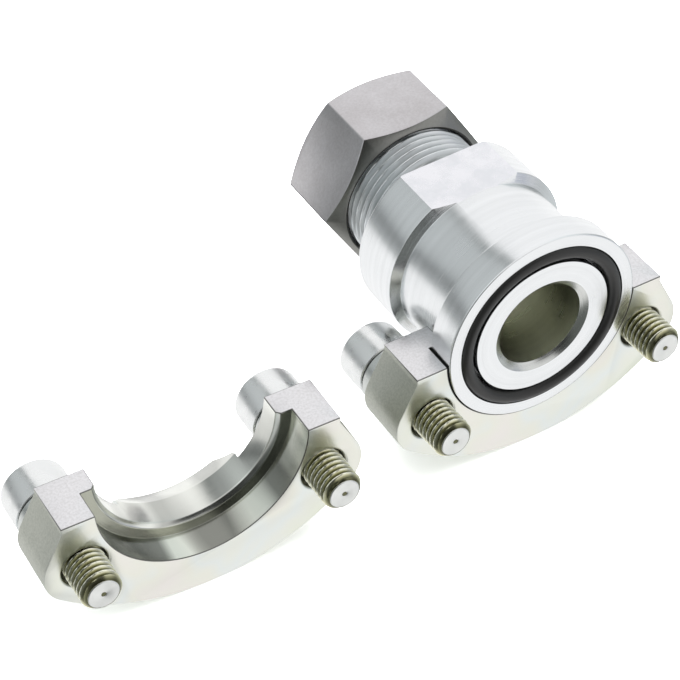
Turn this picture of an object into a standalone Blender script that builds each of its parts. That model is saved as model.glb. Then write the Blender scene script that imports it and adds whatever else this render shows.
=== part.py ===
"""Split flange clamp set with its tube adapter, seal, cap screws and lock washers.

The adapter lies in the seated half, and the loose half stands beside it with its own
two screws. Y runs along the adapter from its sealing face to the tube end, X runs along
the screw lugs and Z is up. The origin is the centre of the adapter's sealing face.
All sizes are in metres: each one below is given in millimetres times MM.
"""

from math import asin, atan2, cos, hypot, pi, radians, sin, sqrt, tan

import bmesh
import bpy
from mathutils import Vector

MM = 0.001

# Tube end: a 24 degree cone for a tube of this radius, with thread and union nut
TUBE_RADIUS = 14.0 * MM
SOCKET_CLEARANCE = 0.05 * MM
SOCKET_DEPTH = 7.5 * MM
CONE_DEPTH = 5.2 * MM
CONE_HALF_ANGLE = radians(12.0)
CONE_WALL = 2.74 * MM
THREAD_DEPTH = 1.2 * MM
THREAD_CHAMFER = 1.0 * MM
RELIEF_LENGTH = 5.3 * MM
THREADED_LENGTH = 19.3 * MM

# Flange end and middle of the adapter
HEAD_RADIUS = 25.4 * MM
HEAD_THICKNESS = 8.0 * MM
HEAD_CHAMFER = 0.4 * MM
GROOVE_WALL = 3.175 * MM
GROOVE_WIDTH = 4.175 * MM
GROOVE_DEPTH = 2.8 * MM
BORE_RADIUS = 11.1 * MM
BORE_CHAMFER = 1.2 * MM
NECK_STEP = 3.9 * MM
NECK_LENGTH = 19.0 * MM
SHOULDER_CONE_LENGTH = 1.26 * MM
SHOULDER_LENGTH = 15.2 * MM
SHOULDER_CHAMFER = 0.5 * MM
FLAT_WALL = 2.9 * MM
FLAT_DEPTH = 3.1 * MM
FLAT_RUNOUT = 0.25 * MM
FLAT_ANGLE = radians(92.1)

# Seal ring: its section, set against the groove's floor and outer wall
SEAL_SECTION = 3.53 * MM

# Union nut and cutting ring
NUT_WALL = 2.4 * MM
NUT_LENGTH = 22.5 * MM
NUT_ENGAGED_LENGTH = 5.5 * MM
NUT_THREAD_LENGTH = 15.1 * MM
NUT_THREAD_CLEARANCE = 0.1 * MM
NUT_COUNTERSINK = 0.65 * MM
NUT_FACE_LAND = 0.25 * MM
NUT_BACK_CHAMFER = 5.0 * MM
NUT_CHAMFER_ANGLE = radians(30.0)
NUT_ANGLE = radians(61.7)
NUT_CONE_STEP = 1.0 * MM
NUT_TUBE_CLEARANCE = 0.25 * MM
NUT_TUBE_CHAMFER = 0.6 * MM
RING_BORE_CLEARANCE = 0.1 * MM
RING_NOSE_GAP = 2.5 * MM
RING_NOSE_WALL = 0.65 * MM
RING_NOSE_LENGTH = 2.5 * MM
RING_NOSE_SLOPE = 0.2
RING_FLARE_LENGTH = 1.5 * MM
RING_SIDE_GAP = 1.4 * MM
RING_CLEARANCE = 0.3 * MM

# Cap screws and lock washers
SCREW_RADIUS = 4.95 * MM
SCREW_LENGTH = 28.4 * MM
SCREW_HEAD_OVERHANG = 3.05 * MM
SCREW_HEAD_HEIGHT = 10.0 * MM
SCREW_HEAD_EDGE = 0.7 * MM
SCREW_TIP_STEP = 1.15 * MM
SCREW_TIP_LENGTH = 1.2 * MM
SCREW_CENTRE_RADIUS = 1.3 * MM
SCREW_CENTRE_DEPTH = 0.9 * MM
SOCKET_WIDTH = 8.0 * MM
SOCKET_HEX_DEPTH = 5.0 * MM
SCREW_DROOP = radians(2.7)
WASHER_CLEARANCE = 0.2 * MM
WASHER_OVERHANG = 0.1 * MM
WASHER_THICKNESS = 2.5 * MM
WASHER_RISE = 1.6 * MM
WASHER_SWEEP = radians(344.0)
WASHER_GAP = 0.03 * MM

# Clamp halves
HEAD_SIDE_CLEARANCE = 0.35 * MM
HEAD_PROUD = 0.3 * MM
NECK_CLEARANCE = 0.55 * MM
NECK_HOLE_CHAMFER = 1.0 * MM
NECK_HOLE_LENGTH = 7.8 * MM
FLARE_WIDTH = 3.95 * MM
SCREW_TO_RECESS = 3.6 * MM
SCREW_CLEARANCE = 0.65 * MM
HOLE_TO_SPLIT = 14.2 * MM
HOLE_CHAMFER = 0.4 * MM
AXIS_ABOVE_SPLIT = 0.85 * MM
LUG_THICKNESS = 14.2 * MM
LUG_WALL = 4.15 * MM
SEAT_THICKNESS = 7.8 * MM
SEAT_POCKET_MARGIN = 6.5 * MM
HUB_END_SLOPE = 4.6 * MM
BELLY_WALL = 9.65 * MM
SPLIT_LAND = 4.45 * MM
SPLIT_SHOULDER = 1.5 * MM
HALF_EDGE_RADIUS = 0.8 * MM

# Where the pieces lie
SEAT_GAP = 0.02 * MM
ADAPTER_ABOVE_SPLIT = 0.53 * MM
LOOSE_HALF_GAP = 9.93 * MM
LOOSE_HALF_Y = 0.48 * MM
LOOSE_HALF_TURN = radians(-1.72)

# Sizes that follow from those above
GROOVE_OUTER_RADIUS = HEAD_RADIUS - GROOVE_WALL
GROOVE_INNER_RADIUS = GROOVE_OUTER_RADIUS - GROOVE_WIDTH
NECK_RADIUS = HEAD_RADIUS - NECK_STEP
SOCKET_RADIUS = TUBE_RADIUS + SOCKET_CLEARANCE
CONE_MOUTH_RADIUS = SOCKET_RADIUS + CONE_DEPTH * tan(CONE_HALF_ANGLE)
THREAD_RADIUS = CONE_MOUTH_RADIUS + CONE_WALL
FLAT_RADIUS = THREAD_RADIUS + FLAT_WALL
SHOULDER_RADIUS = FLAT_RADIUS + FLAT_DEPTH
SHOULDER_START = HEAD_THICKNESS + NECK_LENGTH
SHOULDER_END = SHOULDER_START + SHOULDER_LENGTH
BODY_END = SHOULDER_END + THREADED_LENGTH
NUT_WIDTH = 2.0 * (THREAD_RADIUS + NUT_WALL)
NUT_CORNER = NUT_WIDTH / 2.0 / cos(pi / 6.0)
NUT_START = BODY_END - NUT_ENGAGED_LENGTH
NUT_END = NUT_START + NUT_LENGTH
NUT_BORE_RADIUS = THREAD_RADIUS + NUT_THREAD_CLEARANCE
NUT_TUBE_RADIUS = TUBE_RADIUS + NUT_TUBE_CLEARANCE
NUT_CONE_RADIUS = NUT_BORE_RADIUS - NUT_CONE_STEP
NUT_CONE_START = NUT_START + NUT_THREAD_LENGTH + NUT_CONE_STEP / 2.0
HOLE_RADIUS = SCREW_RADIUS + SCREW_CLEARANCE
LUG_RADIUS = HOLE_RADIUS + LUG_WALL
SCREW_HEAD_RADIUS = SCREW_RADIUS + SCREW_HEAD_OVERHANG
WASHER_INNER_RADIUS = SCREW_RADIUS + WASHER_CLEARANCE
WASHER_OUTER_RADIUS = SCREW_HEAD_RADIUS + WASHER_OVERHANG
RECESS_RADIUS = HEAD_RADIUS + HEAD_SIDE_CLEARANCE
RECESS_DEPTH = HEAD_THICKNESS - HEAD_PROUD
NECK_HOLE_RADIUS = NECK_RADIUS + NECK_CLEARANCE
LUG_X = RECESS_RADIUS + SCREW_TO_RECESS
SPLIT_HALF_WIDTH = LUG_X + SPLIT_LAND
HALF_DEPTH = RECESS_RADIUS + BELLY_WALL
HALF_THICKNESS = LUG_THICKNESS + SEAT_THICKNESS
SEAT_POCKET_RADIUS = SCREW_HEAD_RADIUS + SEAT_POCKET_MARGIN
LOOSE_HALF_X = -2.0 * (LUG_X + LUG_RADIUS) - LOOSE_HALF_GAP

# How finely curves are divided
TURN_STEPS = 56
RECESS_STEPS = 56
SEAL_STEPS = 48
SEAL_SECTION_STEPS = 12
SCREW_STEPS = 24
HOLE_STEPS = 24
WASHER_STEPS = 22
LUG_ARC_STEPS = 9
BELLY_ARC_STEPS = 22
POCKET_ARC_STEPS = 8
EDGE_STEPS = 2

# Length by which a cutting tool passes through a surface
OVERSHOOT = 2.0 * MM
SAW_HEIGHT = 3.0 * MM


def clear_scene():
    for obj in list(bpy.data.objects):
        bpy.data.objects.remove(obj, do_unlink=True)


def make_material(name, colour, roughness, metallic):
    mat = bpy.data.materials.new(name)
    mat.use_nodes = True
    shader = mat.node_tree.nodes["Principled BSDF"]
    shader.inputs["Base Color"].default_value = (*colour, 1.0)
    shader.inputs["Roughness"].default_value = roughness
    shader.inputs["Metallic"].default_value = metallic
    return mat


def link_object(name, mesh, mat=None, parent=None):
    obj = bpy.data.objects.new(name, mesh)
    bpy.context.collection.objects.link(obj)
    if mat is not None:
        mesh.materials.append(mat)
    obj.parent = parent
    return obj


def make_tool(obj):
    """Keep a cutting shape out of the finished part."""
    obj.hide_render = True
    obj.display_type = "WIRE"
    return obj


def add_empty(name, location, turn=0.0, parent=None):
    empty = bpy.data.objects.new(name, None)
    bpy.context.collection.objects.link(empty)
    empty.location = location
    empty.rotation_euler = (0.0, 0.0, turn)
    empty.parent = parent
    return empty


def turned(name, profile, steps, mat=None, parent=None, closed=True):
    """Turn a profile of (radius, distance along Y) points about the Y axis."""
    mesh = bpy.data.meshes.new(name)
    edges = [(i, i + 1) for i in range(len(profile) - 1)]
    if closed:
        edges.append((len(profile) - 1, 0))
    mesh.from_pydata([(radius, along, 0.0) for radius, along in profile], edges, [])
    obj = link_object(name, mesh, mat, parent)
    turn = obj.modifiers.new("turn", "SCREW")
    turn.axis = "Y"
    turn.angle = 2.0 * pi
    turn.steps = steps
    turn.render_steps = steps
    turn.use_merge_vertices = True
    turn.merge_threshold = 0.001 * MM
    turn.use_normal_flip = True
    return obj


def plate(name, outline, start, thickness, mat=None, parent=None):
    """Extrude an outline of (x, z) points along Y."""
    bm = bmesh.new()
    face = bm.faces.new([bm.verts.new((x, start, z)) for x, z in outline])
    grown = bmesh.ops.extrude_face_region(bm, geom=[face])
    moved = [item for item in grown["geom"] if isinstance(item, bmesh.types.BMVert)]
    bmesh.ops.translate(bm, verts=moved, vec=(0.0, thickness, 0.0))
    bmesh.ops.recalc_face_normals(bm, faces=bm.faces)
    mesh = bpy.data.meshes.new(name)
    bm.to_mesh(mesh)
    bm.free()
    return link_object(name, mesh, mat, parent)


def lofted(name, levels, parent=None):
    """Closed solid through outlines of (x, z) points, each at its own distance along Y."""
    bm = bmesh.new()
    rings = [[bm.verts.new((x, along, z)) for x, z in outline] for along, outline in levels]
    bm.faces.new(rings[0])
    bm.faces.new(rings[-1])
    for near, far in zip(rings, rings[1:]):
        for i in range(len(near)):
            bm.faces.new((near[i - 1], near[i], far[i], far[i - 1]))
    bmesh.ops.recalc_face_normals(bm, faces=bm.faces)
    mesh = bpy.data.meshes.new(name)
    bm.to_mesh(mesh)
    bm.free()
    return link_object(name, mesh, parent=parent)


def hexagon(width, angle):
    """Corner points of a hexagon of this width across its flats."""
    corner = width / 2.0 / cos(pi / 6.0)
    turns = [angle + i * pi / 3.0 for i in range(6)]
    return [(corner * cos(a), corner * sin(a)) for a in turns]


def arc(centre_x, centre_z, radius, start, end, steps):
    points = []
    for i in range(steps + 1):
        angle = start + (end - start) * i / steps
        points.append((centre_x + radius * cos(angle), centre_z + radius * sin(angle)))
    return points


def boolean(obj, tool, operation="DIFFERENCE"):
    cut = obj.modifiers.new(tool.name, "BOOLEAN")
    cut.operation = operation
    cut.solver = "EXACT"
    cut.object = tool


def mirror_across_x(obj):
    mirror = obj.modifiers.new("other side", "MIRROR")
    mirror.use_axis = (True, False, False)
    mirror.use_mirror_merge = False


def round_edges(obj, radius, steps, angle):
    bevel = obj.modifiers.new("rounded edges", "BEVEL")
    bevel.width = radius
    bevel.segments = steps
    bevel.limit_method = "ANGLE"
    bevel.angle_limit = angle


def half_outline():
    """Front view of a clamp half, from the split face round both lugs and the belly."""
    lug_z = -HOLE_TO_SPLIT
    drop = HALF_DEPTH - HOLE_TO_SPLIT
    belly_radius = (LUG_X ** 2 + drop ** 2 - LUG_RADIUS ** 2) / (2.0 * (drop - LUG_RADIUS))
    belly_z = belly_radius - HALF_DEPTH
    belly_end = atan2(lug_z - belly_z, LUG_X)

    # The flank runs from the shoulder corner and touches the lug's end
    to_lug_x = LUG_X - SPLIT_HALF_WIDTH
    to_lug_z = lug_z + SPLIT_SHOULDER
    reach = hypot(to_lug_x, to_lug_z)
    flank = atan2(to_lug_z, to_lug_x) + asin(LUG_RADIUS / reach)
    lug_start = flank + pi / 2.0

    right = [(SPLIT_HALF_WIDTH, SAW_HEIGHT), (SPLIT_HALF_WIDTH, -SPLIT_SHOULDER)]
    right += arc(LUG_X, lug_z, LUG_RADIUS, lug_start, belly_end, LUG_ARC_STEPS)
    belly = arc(0.0, belly_z, belly_radius, belly_end, -pi - belly_end, BELLY_ARC_STEPS)
    left = [(-x, z) for x, z in reversed(right)]
    return right + belly[1:-1] + left


def seat_pocket_outline(widening):
    """Room for a screw head and spanner behind a lug, seen from the front."""
    radius = SEAT_POCKET_RADIUS + widening
    outside = LUG_X + LUG_RADIUS + OVERSHOOT
    above = SAW_HEIGHT + OVERSHOOT
    corner = arc(LUG_X, -HOLE_TO_SPLIT, radius, pi, 1.5 * pi, POCKET_ARC_STEPS)
    below = -HOLE_TO_SPLIT - radius
    return [(outside, above), (LUG_X - radius, above)] + corner + [(outside, below)]


def recess_profile():
    """Hole through a clamp half: head recess, neck hole and flared back."""
    flare_start = RECESS_DEPTH + NECK_HOLE_LENGTH
    flare_slope = FLARE_WIDTH / (HALF_THICKNESS - flare_start)
    flare_width = FLARE_WIDTH + flare_slope * OVERSHOOT
    return [
        (0.0, -OVERSHOOT),
        (RECESS_RADIUS, -OVERSHOOT),
        (RECESS_RADIUS, RECESS_DEPTH),
        (NECK_HOLE_RADIUS + NECK_HOLE_CHAMFER, RECESS_DEPTH),
        (NECK_HOLE_RADIUS, RECESS_DEPTH + NECK_HOLE_CHAMFER),
        (NECK_HOLE_RADIUS, flare_start),
        (NECK_HOLE_RADIUS + flare_width, HALF_THICKNESS + OVERSHOOT),
        (0.0, HALF_THICKNESS + OVERSHOOT),
    ]


def screw_hole_profile():
    """Screw hole with a small chamfer at both ends."""
    mouth = HOLE_RADIUS + HOLE_CHAMFER
    return [
        (0.0, -OVERSHOOT),
        (mouth, -OVERSHOOT),
        (mouth, 0.0),
        (HOLE_RADIUS, HOLE_CHAMFER),
        (HOLE_RADIUS, LUG_THICKNESS - HOLE_CHAMFER),
        (mouth, LUG_THICKNESS),
        (mouth, LUG_THICKNESS + OVERSHOOT),
        (0.0, LUG_THICKNESS + OVERSHOOT),
    ]


def build_half(name, place, mat):
    half = plate(name, half_outline(), 0.0, HALF_THICKNESS, mat, place)

    # Behind each lug the hub's end stands straight, then slopes back at 45 degrees
    pockets = lofted(
        name + "_pockets",
        [
            (LUG_THICKNESS, seat_pocket_outline(0.0)),
            (HALF_THICKNESS - HUB_END_SLOPE, seat_pocket_outline(0.0)),
            (HALF_THICKNESS + OVERSHOOT, seat_pocket_outline(HUB_END_SLOPE + OVERSHOOT)),
        ],
        place,
    )
    mirror_across_x(pockets)
    boolean(half, make_tool(pockets))
    round_edges(half, HALF_EDGE_RADIUS, EDGE_STEPS, radians(50.0))

    saw_width = 2.0 * (SPLIT_HALF_WIDTH + OVERSHOOT)
    saw_length = HALF_THICKNESS + 2.0 * OVERSHOOT
    bpy.ops.mesh.primitive_cube_add(size=1.0)
    saw = bpy.context.object
    saw.name = name + "_saw"
    saw.parent = place
    saw.scale = (saw_width, saw_length, 2.0 * SAW_HEIGHT)
    saw.location = (0.0, HALF_THICKNESS / 2.0, SAW_HEIGHT)
    boolean(half, make_tool(saw))

    recess = turned(name + "_recess", recess_profile(), RECESS_STEPS, parent=place, closed=False)
    recess.location = (0.0, 0.0, AXIS_ABOVE_SPLIT)
    boolean(half, make_tool(recess))

    for side, sign in (("left", -1.0), ("right", 1.0)):
        hole = turned(f"{name}_hole_{side}", screw_hole_profile(), HOLE_STEPS, parent=place,
                      closed=False)
        hole.location = (sign * LUG_X, 0.0, -HOLE_TO_SPLIT)
        boolean(half, make_tool(hole))
    return half


def adapter_profile():
    """Turned shape of the adapter before its wrench flats are milled."""
    relief_radius = THREAD_RADIUS - THREAD_DEPTH
    thread_start = SHOULDER_END + RELIEF_LENGTH
    return [
        (BORE_RADIUS, BORE_CHAMFER),
        (BORE_RADIUS + BORE_CHAMFER, 0.0),
        (GROOVE_INNER_RADIUS, 0.0),
        (GROOVE_INNER_RADIUS, GROOVE_DEPTH),
        (GROOVE_OUTER_RADIUS, GROOVE_DEPTH),
        (GROOVE_OUTER_RADIUS, 0.0),
        (HEAD_RADIUS - HEAD_CHAMFER, 0.0),
        (HEAD_RADIUS, HEAD_CHAMFER),
        (HEAD_RADIUS, HEAD_THICKNESS - HEAD_CHAMFER),
        (HEAD_RADIUS - HEAD_CHAMFER, HEAD_THICKNESS),
        (NECK_RADIUS, HEAD_THICKNESS),
        (NECK_RADIUS, SHOULDER_START),
        (SHOULDER_RADIUS, SHOULDER_START + SHOULDER_CONE_LENGTH),
        (SHOULDER_RADIUS, SHOULDER_END - SHOULDER_CHAMFER),
        (SHOULDER_RADIUS - SHOULDER_CHAMFER, SHOULDER_END),
        (relief_radius, SHOULDER_END),
        (relief_radius, thread_start - THREAD_DEPTH),
        (THREAD_RADIUS, thread_start),
        (THREAD_RADIUS, BODY_END - THREAD_CHAMFER),
        (THREAD_RADIUS - THREAD_CHAMFER, BODY_END),
        (CONE_MOUTH_RADIUS, BODY_END),
        (SOCKET_RADIUS, BODY_END - CONE_DEPTH),
        (SOCKET_RADIUS, BODY_END - SOCKET_DEPTH),
        (BORE_RADIUS, BODY_END - SOCKET_DEPTH),
    ]


def build_adapter(mat):
    """Turned body with two parallel wrench flats milled across its shoulder."""
    adapter = turned("flange_adapter", adapter_profile(), TURN_STEPS, mat)
    outside = SHOULDER_RADIUS + OVERSHOOT
    flat = [(FLAT_RADIUS, -outside), (outside, -outside), (outside, outside),
            (FLAT_RADIUS, outside)]
    mill_start = SHOULDER_START - FLAT_RUNOUT
    mill = plate("adapter_mill", flat, mill_start, SHOULDER_END - mill_start + OVERSHOOT)
    mirror_across_x(mill)
    mill.rotation_euler = (0.0, -FLAT_ANGLE, 0.0)
    boolean(adapter, make_tool(mill))
    return adapter


def build_seal(mat):
    """Seal ring that lies against the groove's floor and outer wall."""
    section_radius = SEAL_SECTION / 2.0
    bpy.ops.mesh.primitive_torus_add(
        major_radius=GROOVE_OUTER_RADIUS - section_radius - SEAT_GAP,
        minor_radius=section_radius,
        major_segments=SEAL_STEPS,
        minor_segments=SEAL_SECTION_STEPS,
    )
    seal = bpy.context.object
    seal.name = "face_o_ring"
    seal.rotation_euler = (pi / 2.0, 0.0, 0.0)
    seal.location = (0.0, GROOVE_DEPTH - section_radius - SEAT_GAP, 0.0)
    seal.data.materials.append(mat)
    return seal


def nut_profile():
    face_radius = NUT_BORE_RADIUS + NUT_COUNTERSINK + NUT_FACE_LAND
    back_radius = NUT_CORNER - NUT_BACK_CHAMFER
    front_chamfer = (NUT_CORNER - face_radius) * tan(NUT_CHAMFER_ANGLE)
    back_chamfer = NUT_BACK_CHAMFER * tan(NUT_CHAMFER_ANGLE)
    cone_end = NUT_CONE_START + NUT_CONE_RADIUS - NUT_TUBE_RADIUS
    return [
        (NUT_BORE_RADIUS, NUT_START + NUT_COUNTERSINK),
        (NUT_BORE_RADIUS + NUT_COUNTERSINK, NUT_START),
        (face_radius, NUT_START),
        (NUT_CORNER, NUT_START + front_chamfer),
        (NUT_CORNER, NUT_END - back_chamfer),
        (back_radius, NUT_END),
        (NUT_TUBE_RADIUS + NUT_TUBE_CHAMFER, NUT_END),
        (NUT_TUBE_RADIUS, NUT_END - NUT_TUBE_CHAMFER),
        (NUT_TUBE_RADIUS, cone_end),
        (NUT_CONE_RADIUS, NUT_CONE_START),
        (NUT_BORE_RADIUS, NUT_START + NUT_THREAD_LENGTH),
    ]


def build_nut(mat):
    """Turned nut cut to a hexagon by a thick tube with a hexagonal opening."""
    nut = turned("union_nut", nut_profile(), TURN_STEPS, mat)
    start = NUT_START - OVERSHOOT
    end = NUT_END + OVERSHOOT
    outside = NUT_CORNER + OVERSHOOT
    mill = turned("nut_mill", [(0.0, start), (outside, start), (outside, end), (0.0, end)],
                  TURN_STEPS, closed=False)
    opening = plate("nut_mill_opening", hexagon(NUT_WIDTH, NUT_ANGLE), start - OVERSHOOT,
                    end - start + 2.0 * OVERSHOOT)
    boolean(mill, make_tool(opening))
    boolean(nut, make_tool(mill))
    return nut


def ring_profile():
    """Cutting ring: tapered nose, full body and a shoulder that the nut's cone pushes."""
    start = BODY_END + RING_NOSE_GAP
    bore_radius = TUBE_RADIUS + RING_BORE_CLEARANCE
    nose_radius = bore_radius + RING_NOSE_WALL
    nose_end = start + RING_NOSE_LENGTH
    body_radius = NUT_BORE_RADIUS - RING_SIDE_GAP
    back_radius = NUT_TUBE_RADIUS + RING_CLEARANCE
    shoulder = NUT_CONE_START + NUT_CONE_RADIUS - body_radius - sqrt(2.0) * RING_CLEARANCE
    end = shoulder + body_radius - back_radius
    return [
        (bore_radius, start),
        (nose_radius, start),
        (nose_radius + RING_NOSE_SLOPE * RING_NOSE_LENGTH, nose_end),
        (body_radius, nose_end + RING_FLARE_LENGTH),
        (body_radius, shoulder),
        (back_radius, end),
        (bore_radius, end),
    ]


def build_ring(mat):
    return turned("cutting_ring", ring_profile(), TURN_STEPS, mat)


def screw_profile():
    """Cap screw from the centre mark in its tip, at zero, to the middle of its head."""
    head_top = SCREW_LENGTH + SCREW_HEAD_HEIGHT
    bend = SCREW_HEAD_EDGE * (1.0 - cos(pi / 4.0))
    return [
        (0.0, SCREW_CENTRE_DEPTH),
        (SCREW_CENTRE_RADIUS, 0.0),
        (SCREW_RADIUS - SCREW_TIP_STEP, 0.0),
        (SCREW_RADIUS, SCREW_TIP_LENGTH),
        (SCREW_RADIUS, SCREW_LENGTH),
        (SCREW_HEAD_RADIUS, SCREW_LENGTH),
        (SCREW_HEAD_RADIUS, head_top - SCREW_HEAD_EDGE),
        (SCREW_HEAD_RADIUS - bend, head_top - bend),
        (SCREW_HEAD_RADIUS - SCREW_HEAD_EDGE, head_top),
        (0.0, head_top),
    ]


def build_screw(name, place, side, mat):
    """Cap screw hanging in its hole, its head a little lower than its tip."""
    screw = turned(name, screw_profile(), SCREW_STEPS, mat, place, closed=False)
    head_top = SCREW_LENGTH + SCREW_HEAD_HEIGHT
    socket = plate(name + "_socket", hexagon(SOCKET_WIDTH, 0.0), head_top - SOCKET_HEX_DEPTH,
                   SOCKET_HEX_DEPTH + OVERSHOOT, parent=screw)
    boolean(screw, make_tool(socket))
    screw.rotation_euler = (-SCREW_DROOP, 0.0, 0.0)

    # The washer's low edge meets the lug, and the head meets the washer
    washer_front = LUG_THICKNESS + WASHER_OUTER_RADIUS * tan(SCREW_DROOP) + WASHER_GAP
    washer_height = WASHER_THICKNESS + WASHER_RISE
    under_head = washer_front + washer_height + WASHER_GAP
    lug_middle = LUG_THICKNESS / 2.0
    along_to_middle = (under_head - lug_middle) / cos(SCREW_DROOP)
    axis = Vector((0.0, cos(SCREW_DROOP), -sin(SCREW_DROOP)))
    middle = Vector((side * LUG_X, lug_middle, -HOLE_TO_SPLIT))
    screw.location = middle + axis * (along_to_middle - SCREW_LENGTH)
    return screw


def build_washer(name, screw, mat):
    """Split lock washer on a screw, wound as one turn of a square-section spring."""
    start = SCREW_LENGTH - WASHER_GAP - WASHER_THICKNESS - WASHER_RISE
    bm = bmesh.new()
    corners = [
        (WASHER_INNER_RADIUS, start, 0.0),
        (WASHER_OUTER_RADIUS, start, 0.0),
        (WASHER_OUTER_RADIUS, start + WASHER_THICKNESS, 0.0),
        (WASHER_INNER_RADIUS, start + WASHER_THICKNESS, 0.0),
    ]
    face = bm.faces.new([bm.verts.new(corner) for corner in corners])
    bmesh.ops.spin(
        bm,
        geom=list(face.verts) + list(face.edges) + [face],
        cent=(0.0, 0.0, 0.0),
        axis=(0.0, 1.0, 0.0),
        dvec=(0.0, WASHER_RISE / WASHER_STEPS, 0.0),
        angle=WASHER_SWEEP,
        steps=WASHER_STEPS,
        use_duplicate=False,
    )
    bmesh.ops.recalc_face_normals(bm, faces=bm.faces)
    mesh = bpy.data.meshes.new(name)
    bm.to_mesh(mesh)
    bm.free()
    washer = link_object(name, mesh, mat, screw.parent)
    washer.location = screw.location
    washer.rotation_euler = screw.rotation_euler
    return washer


def main():
    clear_scene()
    zinc_bright = make_material("bright_zinc", (0.72, 0.74, 0.78), 0.28, 1.0)
    zinc_pale = make_material("pale_zinc", (0.78, 0.78, 0.74), 0.36, 1.0)
    phosphate = make_material("dark_phosphate", (0.30, 0.28, 0.27), 0.50, 0.8)
    steel = make_material("plain_steel", (0.55, 0.55, 0.54), 0.35, 1.0)
    screw_steel = make_material("screw_zinc", (0.70, 0.70, 0.68), 0.32, 1.0)
    washer_steel = make_material("washer_zinc", (0.62, 0.62, 0.58), 0.38, 1.0)
    rubber = make_material("black_rubber", (0.02, 0.02, 0.02), 0.45, 0.0)

    build_adapter(zinc_bright)
    build_seal(rubber)
    build_nut(phosphate)
    build_ring(steel)

    lug_front = HEAD_PROUD + SEAT_GAP
    seated = add_empty("seated_place", (0.0, lug_front, -ADAPTER_ABOVE_SPLIT))
    loose = add_empty("loose_place", (LOOSE_HALF_X, LOOSE_HALF_Y, -ADAPTER_ABOVE_SPLIT),
                      LOOSE_HALF_TURN)
    for group, place in (("seated", seated), ("loose", loose)):
        build_half(f"{group}_half", place, zinc_pale)
        for side, sign in (("left", -1.0), ("right", 1.0)):
            screw = build_screw(f"{group}_screw_{side}", place, sign, screw_steel)
            build_washer(f"{group}_washer_{side}", screw, washer_steel)


main()
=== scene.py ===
from math import asin, atan2, cos, hypot, pi, radians, sin, tan

import bmesh
import bpy
import numpy as np
from mathutils import Matrix, Vector


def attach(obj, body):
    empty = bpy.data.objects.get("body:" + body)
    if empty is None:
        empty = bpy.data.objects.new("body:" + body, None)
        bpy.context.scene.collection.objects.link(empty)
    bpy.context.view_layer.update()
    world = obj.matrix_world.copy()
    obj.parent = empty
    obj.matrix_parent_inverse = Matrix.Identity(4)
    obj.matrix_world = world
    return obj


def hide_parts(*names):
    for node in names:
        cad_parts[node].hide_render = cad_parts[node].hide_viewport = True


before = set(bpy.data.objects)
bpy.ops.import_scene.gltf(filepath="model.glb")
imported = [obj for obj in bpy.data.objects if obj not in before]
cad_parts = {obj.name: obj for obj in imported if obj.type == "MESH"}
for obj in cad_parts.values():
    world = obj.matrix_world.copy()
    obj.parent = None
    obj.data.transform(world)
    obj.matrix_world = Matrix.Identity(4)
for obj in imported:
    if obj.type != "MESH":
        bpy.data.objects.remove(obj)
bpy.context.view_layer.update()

# All sizes are in metres. Y runs along the adapter from its sealing face, X along the lugs, Z up.
# Cutting tools reach past the piece by OVERRUN.
MM = 0.001
OVERRUN = 2.0 * MM

# Adapter: radii, and places along Y
BORE_R = 11.1 * MM
MOUTH_R = 12.8 * MM
MOUTH_DEPTH = 1.2 * MM
GROOVE_INNER_R = 18.05 * MM
GROOVE_OUTER_R = 22.225 * MM
GROOVE_DEPTH = 2.8 * MM
HEAD_R = 25.4 * MM
HEAD_END = 8.0 * MM
NECK_R = 21.5 * MM
NECK_END = 27.0 * MM
SHOULDER_R = 23.895 * MM
SHOULDER_START = 28.26 * MM
SHOULDER_END = 42.2 * MM
FLAT_R = 20.795 * MM
FLAT_START = 26.75 * MM
FLAT_TURN = radians(92.1)
SHANK_R = 16.7 * MM
SHANK_CHAMFER = (0.4 * MM, 0.6 * MM)
BODY_END = 61.5 * MM
CONE_MOUTH_R = 15.15 * MM
CONE_START = 56.325 * MM
SOCKET_R = 14.05 * MM
SOCKET_START = 54.0 * MM

# Adapter's thread: a sleeve round the shank. Run-out and chamfer are each a radius and a place along Y.
THREAD_R = 17.9 * MM
THREAD_ROOT_R = 16.78 * MM
THREAD_PITCH = 2.0 * MM
THREAD_START = 46.0 * MM
THREAD_END = 61.46 * MM
THREAD_RUNOUT = (16.75 * MM, 46.3 * MM)
THREAD_CHAMFER = (16.9 * MM, 61.45 * MM)
THREAD_CORE_R = 16.6 * MM

# Seal ring
SEAL_R = 20.44 * MM
SEAL_SECTION_R = 1.765 * MM
SEAL_Y = 1.015 * MM

# Union nut
NUT_WIDTH = 40.6 * MM
NUT_CORNER_R = NUT_WIDTH / 2 / cos(pi / 6)
NUT_TURN = radians(61.7)
NUT_START = 56.0 * MM
NUT_END = 78.5 * MM
NUT_BORE_R = 18.0 * MM
NUT_COUNTERSINK = 0.65 * MM
NUT_FRONT_R = 18.9 * MM
NUT_BACK_R = 18.4 * MM
NUT_THREAD_END = 71.1 * MM
NUT_CONE_START = 71.6 * MM
NUT_CONE_R = 17.0 * MM
NUT_TUBE_R = 14.25 * MM
NUT_TUBE_CHAMFER = 0.6 * MM
NUT_SHADE_DEPTH = 4.0 * MM
NUT_CHAMFER_SLOPE = tan(radians(30))

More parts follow.
